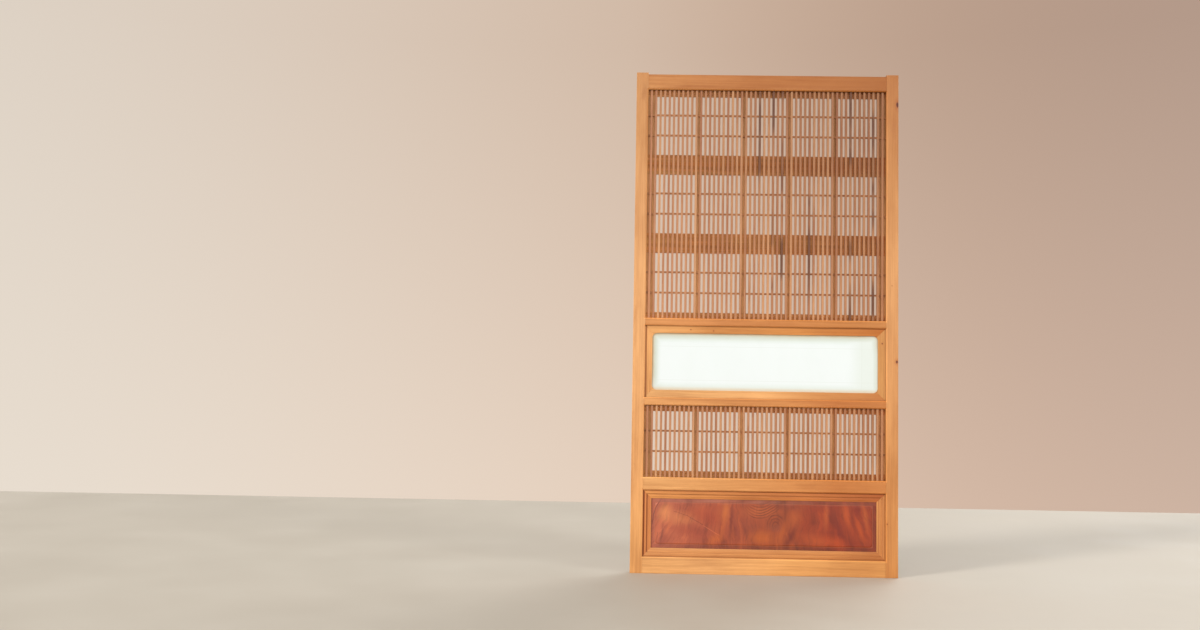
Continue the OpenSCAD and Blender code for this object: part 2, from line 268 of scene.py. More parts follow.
# Red, green and blue factors of an edge lightened partly by wear and partly as painted highlight, a bevel
# lightened as painted highlight, painted shade in a corner, and painted shadow along a step
EDGE_WEAR_HIGHLIGHT_TONE = (1.22, 1.24, 1.28, 1)
BEVEL_HIGHLIGHT_TONE = (1.30, 1.32, 1.36, 1)
PAINTED_SHADE_TONE = (0.40, 0.28, 0.18, 1)
PAINTED_SHADOW_TONE = (0.50, 0.34, 0.18, 1)
EDGE_WEAR_HIGHLIGHT_RADIUS = 1.1 * MM
PAINTED_SHADE_REACH = 8 * MM


def make_wear_and_painted_light():
    """Edges lightened partly by wear and partly as painted highlight, bevels lightened as painted highlight,
    and painted shade in the corners and recesses.
    """
    tree, n, given, result = new_group(
        "wear_and_painted_light",
        {"Colour": "colour", "Place": "vector", "Rubbed_And_Highlight": "value", "Painted_Shade": "value"},
        {"Colour": "colour"},
    )
    # edges found by the Bevel node are lightened, partly as real wear and partly as painted highlight
    rounded = n.add("Bevel", {"Radius": EDGE_WEAR_HIGHLIGHT_RADIUS}, samples=4).outputs[0]
    true_normal = n.add("NewGeometry").outputs["Normal"]
    flat = n.vector("DOT_PRODUCT", rounded, true_normal)
    edge = n.remap(flat, 0.995, 0.90)
    broken = n.remap(n.noise(n.scaled(given["Place"], (60, 60, 60)), detail=3.0), 0.35, 0.62)
    edge = n.maths("MULTIPLY", edge, broken)
    pale = n.blend(1.0, given["Colour"], EDGE_WEAR_HIGHLIGHT_TONE, "MULTIPLY")
    colour = n.blend(n.maths("MULTIPLY", edge, given["Rubbed_And_Highlight"]), given["Colour"], pale)
    # painted highlight: bevel faces, told by their slant, are made lighter
    slant = n.maths("ABSOLUTE", n.parts(true_normal)["Y"])
    bevel = n.maths("MULTIPLY", n.remap(slant, 0.5, 0.66), n.remap(slant, 0.76, 0.92, 1.0, 0.0))
    bright = n.blend(1.0, colour, BEVEL_HIGHLIGHT_TONE, "MULTIPLY")
    colour = n.blend(n.maths("MULTIPLY", bevel, given["Rubbed_And_Highlight"]), colour, bright)
    # painted shade: the colour is darkened where ambient occlusion finds a corner or recess
    hollow = n.add("AmbientOcclusion", {"Distance": PAINTED_SHADE_REACH}, samples=8).outputs["AO"]
    hollow = n.remap(hollow, 0.30, 0.90, 1.0, 0.0)
    painted_shade_colour = n.blend(1.0, colour, PAINTED_SHADE_TONE, "MULTIPLY")
    colour = n.blend(n.maths("MULTIPLY", hollow, given["Painted_Shade"]), colour, painted_shade_colour)
    set_outputs(tree, result, {"Colour": colour})
    return tree


def make_patch():
    """Soft mask of one blotch: an ellipse in X and Z, tilted and with a ragged edge."""
    tree, n, given, result = new_group(
        "patch",
        {
            "Place": "vector",
            "Middle": "vector",
            "Half Size": "vector",
            "Tilt": "value",
            "Ragged": "value",
            "Softness": "value",
        },
        {"Mask": "value"},
    )
    away = n.vector("SUBTRACT", given["Place"], given["Middle"])
    ragged = n.noise(n.scaled(given["Place"], (38, 38, 38)), detail=4.0, roughness=0.6, output="Color")
    ragged = n.vector("SUBTRACT", ragged, (0.5, 0.5, 0.5))
    ragged = n.add("VectorMath", {0: ragged, "Scale": given["Ragged"]}, operation="SCALE").outputs[0]
    away = n.vector("ADD", away, ragged)
    turn = {"Vector": away, "Angle": given["Tilt"]}
    away = n.add("VectorRotate", turn, rotation_type="Y_AXIS", invert=True).outputs[0]
    away = n.scaled(n.vector("DIVIDE", away, given["Half Size"]), (1, 0, 1))
    far = n.vector("LENGTH", away)
    inner = n.maths("SUBTRACT", 1.0, given["Softness"])
    set_outputs(tree, result, {"Mask": n.remap(far, inner, 1.0, 1.0, 0.0)})
    return tree


def make_split_line():
    """Mask of a fine split from one point to another in X and Z, a little wavy."""
    tree, n, given, result = new_group(
        "split_line",
        {"Place": "vector", "Start": "vector", "End": "vector", "Width": "value", "Waver": "value"},
        {"Mask": "value"},
    )
    ragged = n.noise(n.scaled(given["Place"], (45, 45, 45)), detail=3.0, output="Color")
    ragged = n.vector("SUBTRACT", ragged, (0.5, 0.5, 0.5))
    ragged = n.add("VectorMath", {0: ragged, "Scale": given["Waver"]}, operation="SCALE").outputs[0]
    place = n.scaled(n.vector("ADD", given["Place"], ragged), (1, 0, 1))
    run = n.vector("SUBTRACT", given["End"], given["Start"])
    away = n.vector("SUBTRACT", place, given["Start"])
    squared = n.vector("DOT_PRODUCT", run, run)
    share = n.maths("DIVIDE", n.vector("DOT_PRODUCT", away, run), squared, clamp=True)
    nearest = n.add("VectorMath", {0: run, "Scale": share}, operation="SCALE").outputs[0]
    gap = n.vector("LENGTH", n.vector("SUBTRACT", away, nearest))
    set_outputs(tree, result, {"Mask": n.remap(gap, 0.0, given["Width"], 1.0, 0.0)})
    return tree


def make_knot():
    """A small knot that runs through the thickness, with a dark rim and fine rings."""
    tree, n, given, result = new_group(
        "knot",
        {"Colour": "colour", "Place": "vector", "Middle": "vector", "Radius": "value", "Stretch": "value"},
        {"Colour": "colour"},
    )
    away = n.scaled(n.vector("SUBTRACT", given["Place"], given["Middle"]), (1, 0, 1))
    ragged = n.noise(n.scaled(given["Place"], (260, 60, 260)), detail=3.0, output="Color")
    ragged = n.vector("SUBTRACT", ragged, (0.5, 0.5, 0.5))
    away = n.vector("ADD", away, n.scaled(ragged, (0.0028, 0, 0.0028)))
    x, _, z = n.parts(away)[:3]
    away = n.joined(x, 0.0, n.maths("DIVIDE", z, given["Stretch"]))
    far = n.maths("DIVIDE", n.vector("LENGTH", away), given["Radius"])
    core = n.remap(far, 0.75, 1.05, 1.0, 0.0)
    halo = n.remap(far, 0.9, 3.2, 1.0, 0.0)
    rings = n.maths("SINE", n.maths("MULTIPLY", far, 17.0))
    rings = n.maths("MULTIPLY", n.remap(rings, 0.1, 1.0), n.remap(far, 1.0, 2.6, 0.5, 0.0))
    warm = n.blend(1.0, given["Colour"], (0.80, 0.60, 0.42, 1), "MULTIPLY")
    dark = n.blend(1.0, given["Colour"], (0.26, 0.11, 0.08, 1), "MULTIPLY")
    colour = n.blend(n.maths("MULTIPLY", halo, 0.55), given["Colour"], warm)
    colour = n.blend(rings, colour, warm)
    colour = n.blend(core, colour, dark)
    set_outputs(tree, result, {"Colour": colour})
    return tree


PLANED_TIMBER = make_planed_timber()
WEAR_AND_PAINTED_LIGHT = make_wear_and_painted_light()
PATCH = make_patch()
SPLIT_LINE = make_split_line()
KNOT = make_knot()


# ---- materials ----


def new_material(name):
    """A material with its node builder, its shader and the place on the leaf."""
    material = bpy.data.materials.new(name)
    material.use_nodes = True
    tree = material.node_tree
    tree.nodes.clear()
    nodes = Nodes(tree)
    shader = nodes.add("BsdfPrincipled")
    nodes.add("OutputMaterial", {"Surface": shader.outputs[0]})
    place = nodes.add("TexCoord").outputs["Object"]
    return material, nodes, shader, place


def connect_surface(n, shader, colour, roughness, height, depth):
    n.tree.links.new(colour, shader.inputs["Base Color"])
    n.tree.links.new(roughness, shader.inputs["Roughness"])
    bump = n.add("Bump", {"Height": height, "Distance": depth, "Strength": 0.8})
    n.tree.links.new(bump.outputs[0], shader.inputs["Normal"])


def along_grain(n, place, along):
    """Place turned so that the grain runs along Z."""
    if along == "z":
        return place
    x, y, z = n.parts(place)[:3]
    return n.joined(z, y, x)


def spot(x, z):
    """A point on the face, from the leaf's left edge and foot in millimetres."""
    return (LEFT + x * MM, 0.0, FOOT + z * MM)


def patch_mask(n, place, middle, half_size, tilt, ragged, softness):
    """Mask of one blotch; middle and half size are in millimetres, tilt is in degrees."""
    return n.group(
        PATCH,
        {
            "Place": place,
            "Middle": spot(*middle),
            "Half Size": (half_size[0] * MM, 1, half_size[1] * MM),
            "Tilt": math.radians(tilt),
            "Ragged": ragged,
            "Softness": softness,
        },
    )["Mask"]


def split_mask(n, place, start, end, width, waver):
    """Mask of one split; its ends and its width are in millimetres."""
    return n.group(
        SPLIT_LINE,
        {"Place": place, "Start": spot(*start), "End": spot(*end), "Width": width * MM, "Waver": waver},
    )["Mask"]


def tone_along(n, place, along, stops):
    """Timber tone that changes slowly along the stick; stops are (millimetres, display colour)."""
    axis = n.parts(place)["XYZ".index(along.upper())]
    start = LEFT if along == "x" else FOOT
    low, high = stops[0][0], stops[-1][0]
    share = n.remap(axis, start + low * MM, start + high * MM, smooth=False)
    return n.ramp(share, [((s - low) / (high - low), finish_colour(*c)) for s, c in stops])


def painted_shadow_lines(n, place, colour, shadow_lines):
    """Painted shadow: darkens upright lines on the face where a step's shadow falls."""
    x, y, _ = n.parts(place)[:3]
    for middle, half_width, strength in shadow_lines:
        away = n.maths("ABSOLUTE", n.maths("SUBTRACT", x, spot(middle, 0)[0]))
        line = n.remap(away, half_width * 0.25 * MM, half_width * MM, 1.0, 0.0)
        line = n.maths("MULTIPLY", line, n.remap(y, 0.0, 2 * MM, 1.0, 0.0))
        shadowed = n.blend(1.0, colour, PAINTED_SHADOW_TONE, "MULTIPLY")
        colour = n.blend(n.maths("MULTIPLY", line, strength), colour, shadowed)
    return colour


def timber(
    name, along, stops, seed, late=(150, 84, 36), lines=0.15, streaks=0.20,
    line_width=4.2 * MM, painted_shade=0.3, patches=(), knots=(), shadow_lines=(),
):
    """Oiled softwood whose grain runs along one axis.

    Patches are (middle, half size, tilt, strength, colour), and knots are (middle, radius, stretch).
    Shadow lines are painted shadow, darker upright lines along a step: (middle from the left edge, half
    width, strength).
    """
    material, n, shader, place = new_material(name)
    tone = tone_along(n, place, along, stops)
    wood = n.group(
        PLANED_TIMBER,
        {
            "Place": along_grain(n, place, along),
            "Seed": seed,
            "Timber": tone,
            "Late Wood": finish_colour(*late),
            "Line Width": line_width,
            "Lines": lines,
            "Streaks": streaks,
            "Fibre": 0.10,
            "Clouds": 0.30,
        },
    )
    colour = wood["Colour"]
    for middle, half_size, tilt, strength, shade in patches:
        mask = patch_mask(n, place, middle, half_size, tilt, ragged=0.03, softness=0.9)
        colour = n.blend(n.maths("MULTIPLY", mask, strength), colour, finish_colour(*shade))
    for middle, radius, stretch in knots:
        colour = n.group(
            KNOT,
            {
                "Colour": colour,
                "Place": place,
                "Middle": spot(*middle),
                "Radius": radius * MM,
                "Stretch": stretch,
            },
        )["Colour"]
    # painted shadow along steps, then painted highlight on edges and bevels (partly real edge wear) and
    # painted shade in corners
    colour = painted_shadow_lines(n, place, colour, shadow_lines)
    worn = n.group(WEAR_AND_PAINTED_LIGHT, {"Colour": colour, "Place": place, "Rubbed_And_Highlight": 0.9, "Painted_Shade": painted_shade})
    connect_surface(n, shader, worn["Colour"], wood["Roughness"], wood["Height"], 0.25 * MM)
    shader.inputs["Specular IOR Level"].default_value = 0.42
    shader.inputs["Coat Weight"].default_value = 0.06
    shader.inputs["Coat Roughness"].default_value = 0.35
    return material


def lattice_timber(name, along, dark, seed, pale_ends, deep_ends, painted_shade):
    """Lattice timber whose tone changes from stick to stick and, on a few sticks, along the stick."""
    material, n, shader, place = new_material(name)
    x, _, z = n.parts(place)[:3]
    across, length = (x, z) if along == "z" else (z, x)
    stick = n.maths("FLOOR", n.maths("DIVIDE", n.maths("SUBTRACT", across, SLAT_START), SLAT_PITCH))
    drawn = n.add("TexWhiteNoise", {"W": n.maths("ADD", stick, seed)}, noise_dimensions="1D")
    chance = drawn.outputs["Value"]
    share = n.remap(x, LEFT, RIGHT, smooth=False)
    pale = n.ramp(share, [(0.0, finish_colour(*pale_ends[0])), (1.0, finish_colour(*pale_ends[1]))])
    deep = n.ramp(share, [(0.0, finish_colour(*deep_ends[0])), (1.0, finish_colour(*deep_ends[1]))])
    tone = n.blend(n.remap(chance, 0.1, 0.95, smooth=False), pale, deep)
    drift = n.joined(n.maths("MULTIPLY", stick, 3.7), seed, n.maths("MULTIPLY", length, 2.2))
    along_noise = n.noise(drift, detail=2.0)
    tone = n.blend(n.remap(along_noise, 0.45, 0.75), tone, deep)
    # the upper lattice is painted darker, most of all towards its right end: painted shade where the light
    # falls off
    height = n.remap(z, spot(0, 900)[2], spot(0, 1600)[2], smooth=False)
    upper = n.remap(z, spot(0, 640)[2], spot(0, 860)[2])
    lift = n.maths("MULTIPLY", upper, n.maths("SUBTRACT", 0.12, n.maths("MULTIPLY", height, 0.17)))
    fall = n.maths("MULTIPLY", upper, n.maths("ADD", 0.16, n.maths("MULTIPLY", height, 0.18)))
    level = n.maths("SUBTRACT", n.maths("ADD", 1.0, lift), n.maths("MULTIPLY", fall, share))
    tone = n.blend(1.0, tone, n.joined(level, level, level), "MULTIPLY")
    own_cut = n.joined(0.0, n.maths("MULTIPLY", chance, 0.2), n.maths("MULTIPLY", chance, 0.9))
    wood = n.group(
        PLANED_TIMBER,
        {
            "Place": n.vector("ADD", along_grain(n, place, along), own_cut),
            "Seed": seed,
            "Timber": tone,
            "Late Wood": finish_colour(122, 62, 38),
            "Line Width": 2.6 * MM,
            "Lines": 0.22,
            "Streaks": 0.26,
            "Fibre": 0.16,
            "Clouds": 0.14,
        },
    )
    colour = wood["Colour"]
    if dark:
        slat = n.maths("DIVIDE", n.maths("ADD", stick, 0.5), SLAT_COUNT)
        marks = n.ramp(slat, dark_slat_stops(), "CONSTANT")
        run = n.joined(n.maths("MULTIPLY", stick, 1.9), 4.0, n.maths("MULTIPLY", length, 3.4))
        broken = n.noise(run, detail=3.0)
        heart = n.maths("MULTIPLY", marks, n.remap(broken, 0.46, 0.60))
        heart = n.maths("MULTIPLY", heart, n.remap(z, spot(0, 640)[2], spot(0, 860)[2], 0.3, 1.0))
        colour = n.blend(n.maths("MULTIPLY", heart, 0.8), colour, finish_colour(92, 60, 50))
    # painted highlight on edges and bevels, partly real edge wear, and painted shade in corners
    worn = n.group(WEAR_AND_PAINTED_LIGHT, {"Colour": colour, "Place": place, "Rubbed_And_Highlight": 0.35, "Painted_Shade": painted_shade})
    connect_surface(n, shader, worn["Colour"], wood["Roughness"], wood["Height"], 0.2 * MM)
    shader.inputs["Specular IOR Level"].default_value = 0.35
    return material


# Slats are numbered from the left; these carry dark heartwood along part of their height
HEARTWOOD_SLATS = (24, 27, 29, 35, 44, 49)
slat_low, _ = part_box("upper_slats_1")
_, last_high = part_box("upper_slats_5")
SLAT_COUNT = 52
SLAT_W = 7.6 * MM
SLAT_PITCH = (last_high.x - SLAT_W - slat_low.x) / (SLAT_COUNT - 1)
SLAT_START = slat_low.x - (SLAT_PITCH - SLAT_W) / 2


def dark_slat_stops():
    """Ramp stops that are white over the heartwood slats and black over the rest."""
    black, white = (0, 0, 0, 1), (1, 1, 1, 1)
    stops = [(0.0, black)]
    for k in HEARTWOOD_SLATS:
        stops += [(k / SLAT_COUNT, white), ((k + 1) / SLAT_COUNT, black)]
    return stops


# Tone stops of the frame darken towards the top and towards the right: partly the timber's own tone, partly
# painted shade where the light falls off. The rails', surrounds' and mouldings' stops below do the same from
# left to right.
LIGHT_FRAME = [
    (0, (236, 172, 106)), (300, (237, 173, 110)), (800, (240, 180, 120)),
    (1200, (230, 172, 116)), (1500, (211, 154, 99)), (1740, (200, 142, 88)),
]
RIGHT_FRAME = [
    (0, (218, 149, 84)), (420, (218, 154, 94)), (1000, (223, 163, 106)),
    (1400, (206, 146, 90)), (1740, (184, 122, 70)),
]

STILE_FINISH = {
    "left_stile": timber(
        "left_stile_timber", "z", LIGHT_FRAME, 0.0,
        patches=[
            ((26, 1672), (16, 40), 8, 0.35, (150, 92, 50)),
            ((12, 905), (9, 60), 0, 0.25, (190, 120, 66)),
        ],
    ),
    "right_stile": timber(
        "right_stile_timber", "z", RIGHT_FRAME, 3.1,
        patches=[
            ((898, 1560), (14, 90), 0, 0.3, (165, 100, 54)),
            ((890, 300), (10, 120), 0, 0.2, (190, 118, 62)),
        ],
        knots=[
            ((910, 737), 4.2, 1.3), ((911, 1635), 4.6, 2.2),
            ((878, 182), 1.5, 1.2), ((893, 1000), 1.2, 1.0),
        ],
    ),
}

RAIL_FINISH = {
    "bottom_rail": timber(
        "bottom_rail_timber", "x",
        [
            (0, (246, 186, 120)), (260, (248, 188, 124)), (560, (238, 174, 106)),
            (915, (222, 157, 90)),
        ], 5.3,
    ),
    "panel_rail": timber(
        "panel_rail_timber", "x",
        [
            (0, (252, 192, 126)), (220, (244, 180, 114)), (520, (222, 152, 90)),
            (700, (202, 128, 70)), (915, (206, 134, 74)),
        ], 7.9,
    ),
    "lower_middle_rail": timber(
        "lower_middle_rail_timber", "x",
        [
            (0, (240, 176, 112)), (220, (230, 164, 102)), (520, (220, 150, 88)),
            (700, (204, 128, 70)), (915, (208, 136, 76)),
        ], 9.7,
    ),
    "upper_middle_rail": timber(
        "upper_middle_rail_timber", "x",
        [
            (0, (228, 160, 98)), (220, (212, 142, 84)), (520, (208, 138, 78)),
            (700, (210, 140, 78)), (915, (216, 150, 88)),
        ], 11.3,
    ),
    "top_rail": timber(
        "top_rail_timber", "x",
        [
            (0, (214, 152, 93)), (240, (199, 134, 78)), (560, (182, 117, 64)),
            (915, (164, 100, 50)),
        ], 13.9,
        lines=0.24, streaks=0.34,
    ),
}

SURROUND_FINISH = {
    "glass_surround_top": timber(
        "surround_top_timber", "x",
        [(40, (248, 186, 120)), (300, (228, 160, 94)), (600, (218, 146, 80)), (875, (202, 122, 60))], 17.1,
        lines=0.14, painted_shade=0.6, shadow_lines=[(45.8, 4.6, 0.9)],
        knots=[((200, 838), 1.6, 1.0), ((279, 835), 1.8, 1.0)],
    ),
    "glass_surround_bottom": timber(
        "surround_bottom_timber", "x",
        [
            (40, (247, 193, 127)), (450, (236, 176, 112)), (620, (208, 144, 82)),
            (875, (190, 121, 62)),
        ], 19.7,
        lines=0.14, painted_shade=0.6, shadow_lines=[(45.8, 4.6, 0.9)],
    ),
    "glass_surround_left": timber(
        "surround_left_timber", "z",
        [(600, (242, 178, 112)), (850, (244, 180, 114))], 21.1,
        lines=0.14, painted_shade=0.3, shadow_lines=[(45.8, 4.6, 1.0)],
    ),
    "glass_surround_right": timber(
        "surround_right_timber", "z",
        [(600, (224, 166, 100)), (850, (222, 164, 98))], 23.3,
        lines=0.14, painted_shade=0.5, knots=[((862, 800), 2.0, 1.2)],
    ),
}

MOULDING_GRAIN = {"late": (135, 68, 28), "line_width": 2.8 * MM}
MOULDING_FINISH = {
    "panel_moulding_top": timber(
        "moulding_top_timber", "x",
        [(40, (238, 164, 94)), (450, (216, 138, 76)), (875, (196, 110, 56))], 27.1,
        **MOULDING_GRAIN, painted_shade=0.4,
    ),
    "panel_moulding_bottom": timber(
        "moulding_bottom_timber", "x",
        [(40, (224, 158, 98)), (450, (216, 149, 89)), (875, (202, 130, 70))], 29.3,
        **MOULDING_GRAIN, painted_shade=0.5,
    ),
    "panel_moulding_left": timber(
        "moulding_left_timber", "z",
        [(50, (220, 142, 82)), (290, (220, 140, 80))], 31.7,
        **MOULDING_GRAIN, painted_shade=0.25, shadow_lines=[(45.6, 4.6, 1.0), (56.4, 4.0, 0.75)],
    ),
    "panel_moulding_right": timber(
        "moulding_right_timber", "z",
        [(50, (224, 153, 88)), (290, (226, 156, 92))], 33.1,
        **MOULDING_GRAIN, painted_shade=0.2, shadow_lines=[(851.0, 4.4, 0.42), (863.5, 4.4, 0.45)],
    ),
}

BEAD_FINISH = {
    "x": timber("bead_level_timber", "x", [(0, (224, 158, 98)), (915, (208, 140, 80))], 35.9),
    "z": timber("bead_upright_timber", "z", [(600, (224, 158, 98)), (850, (214, 146, 86))], 37.3),
}

SLAT_FINISH = lattice_timber(
    "slat_timber", "z", dark=True, seed=2.0, painted_shade=0.1,
    pale_ends=((217, 165, 122), (210, 155, 111)), deep_ends=((194, 139, 104), (178, 123, 88)),
)
POST_FINISH = lattice_timber(
    "post_timber", "z", dark=False, seed=31.0, painted_shade=0.0,
    pale_ends=((255, 200, 138), (255, 190, 124)), deep_ends=((254, 188, 122), (246, 172, 106)),
)
BOARD_FINISH = lattice_timber(
    "board_timber", "x", dark=False, seed=57.0, painted_shade=0.0,
    pale_ends=((255, 192, 115), (234, 152, 85)), deep_ends=((252, 170, 93), (220, 130, 66)),
)
CROSS_BAR_FINISH = timber(
    "cross_bar_timber", "x",
    [(0, (212, 148, 96)), (450, (202, 138, 88)), (915, (190, 124, 78))], 41.9,
    late=(120, 66, 40), streaks=0.3, line_width=2.4 * MM, painted_shade=0.1,
)


# Blotches of the panel's figure: middle, half size, tilt in degrees, strength, display colour
PANEL_PATCHES = [
    ((118, 205), (35, 50), 22, 0.75, (220, 140, 88)),
    ((150, 192), (56, 36), -20, 0.50, (206, 126, 84)),
    ((184, 186), (66, 36), -12, 0.50, (200, 120, 76)),
    ((98, 150), (19, 73), 16, 0.70, (198, 108, 76)),
    ((132, 158), (12, 46), 24, 0.60, (206, 112, 74)),
    ((108, 130), (7, 59), 8, 0.55, (110, 62, 56)),
    ((118, 112), (26, 35), 34, 0.50, (138, 68, 58)),
    ((240, 212), (90, 32), -8, 0.60, (172, 80, 52)),
    ((268, 190), (64, 40), 10, 0.60, (158, 68, 48)),
    ((215, 140), (107, 35), 14, 0.55, (156, 72, 56)),
    ((236, 148), (44, 24), 10, 0.50, (138, 66, 54)),
    ((292, 118), (46, 27), -30, 0.75, (190, 98, 54)),
    ((327, 212), (24, 59), 5, 0.65, (202, 112, 60)),
    ((318, 160), (13, 68), 10, 0.55, (190, 96, 54)),
    ((346, 180), (10, 89), 4, 0.70, (112, 52, 46)),
    ((366, 150), (13, 68), -14, 0.50, (132, 62, 54)),
    ((395, 150), (14, 57), -16, 0.55, (110, 54, 48)),
    ((405, 180), (49, 40), 10, 0.40, (150, 74, 54)),
    ((452, 126), (70, 40), 0, 0.70, (184, 94, 46)),
    ((446, 216), (93, 35), 0, 0.55, (190, 100, 58)),
    ((498, 162), (44, 22), 0, 0.55, (134, 72, 56)),
    ((420, 160), (32, 22), 0, 0.45, (136, 70, 54)),
    ((564, 190), (40, 50), 20, 0.50, (182, 92, 50)),
    ((550, 130), (20, 76), 22, 0.75, (108, 46, 40)),
    ((520, 140), (17, 62), 20, 0.50, (188, 94, 46)),
    ((600, 170), (38, 89), 10, 0.50, (150, 60, 38)),
    ((540, 232), (58, 19), 0, 0.45, (128, 62, 50)),
    ((628, 226), (44, 19), 0, 0.45, (142, 58, 42)),
    ((640, 118), (75, 35), 12, 0.60, (184, 86, 46)),
    ((672, 205), (16, 76), 2, 0.60, (188, 92, 50)),
    ((700, 205), (24, 68), -16, 0.65, (118, 52, 40)),
    ((720, 150), (18, 89), -26, 0.70, (116, 46, 32)),
    ((742, 210), (26, 76), -18, 0.65, (190, 86, 44)),
    ((764, 196), (17, 62), -12, 0.65, (118, 48, 38)),
    ((786, 160), (14, 81), -20, 0.60, (190, 84, 42)),
    ((806, 205), (14, 94), -12, 0.60, (186, 92, 48)),
    ((776, 226), (17, 46), -10, 0.60, (120, 44, 36)),
    ((822, 150), (12, 81), 0, 0.50, (150, 62, 40)),
    ((700, 116), (67, 30), 14, 0.65, (182, 76, 36)),
    ((760, 112), (29, 22), 10, 0.45, (128, 50, 38)),
]

# Splits: start, end, width and waver
PANEL_SPLITS = [
    ((109, 257), (96, 238), 2.4, 0.003),
    ((96, 238), (86, 219), 2.4, 0.003),
    ((86, 219), (80, 200), 2.2, 0.003),
    ((80, 200), (76, 168), 1.6, 0.003),
    ((150, 211), (196, 197), 1.0, 0.005),
    ((196, 197), (256, 162), 1.2, 0.005),
    ((94, 140), (92, 104), 0.9, 0.006),
    ((628, 256), (634, 232), 0.8, 0.006),
]


# The long split catches the light along its lower end
PANEL_LIGHT_SPLIT = ((250, 165), (306, 132), 1.4, 0.004)


def crotch_curves(n, place):
    """Mask of the nested curves where two growths meet: a wide nest and a narrow one beside it."""
    waver = n.noise(n.scaled(place, (30, 1, 30)), detail=2.0, output="Color")
    waver = n.scaled(n.vector("SUBTRACT", waver, (0.5, 0.5, 0.5)), (0.012, 0, 0.008))
    x, _, z = n.parts(n.vector("ADD", place, waver))[:3]

    # the wide nest: bowls that open upwards
    across = n.maths("SUBTRACT", x, spot(438, 0)[0])
    bend = n.remap(across, -8 * MM, 8 * MM, -14.0, -6.5)
    bowl = n.maths("MULTIPLY", n.maths("MULTIPLY", across, across), bend)
    over = n.maths("ADD", n.maths("SUBTRACT", z, spot(0, 190)[2]), bowl)
    # the narrow nest beside it: rings round a point
    aside = n.maths("SUBTRACT", x, spot(500, 0)[0])
    up = n.maths("MULTIPLY", n.maths("SUBTRACT", z, spot(0, 166)[2]), 0.8)
    around = n.maths("SQRT", n.maths("ADD", n.maths("MULTIPLY", aside, aside), n.maths("MULTIPLY", up, up)))
    beside = n.remap(n.maths("SUBTRACT", around, 34 * MM), -3 * MM, 3 * MM, 1.0, 0.0)
    height = n.maths(
        "ADD",
        n.maths("MULTIPLY", over, n.maths("SUBTRACT", 1.0, beside)),
        n.maths("MULTIPLY", around, beside),
    )
    wave = n.maths("SINE", n.maths("MULTIPLY", height, 2 * math.pi / (9.4 * MM)))
    line = n.remap(wave, -0.1, 0.9)
    uneven = n.remap(n.noise(n.scaled(place, (26, 1, 40)), detail=2.0), 0.35, 0.6, 0.55, 1.0)
    reach = patch_mask(n, place, (462, 206), (92, 56), 0, ragged=0.03, softness=0.55)
    inside = n.maths("MAXIMUM", n.remap(over, -2 * MM, 3 * MM), beside)
    return n.maths("MULTIPLY", n.maths("MULTIPLY", n.maths("MULTIPLY", line, uneven), reach), inside)


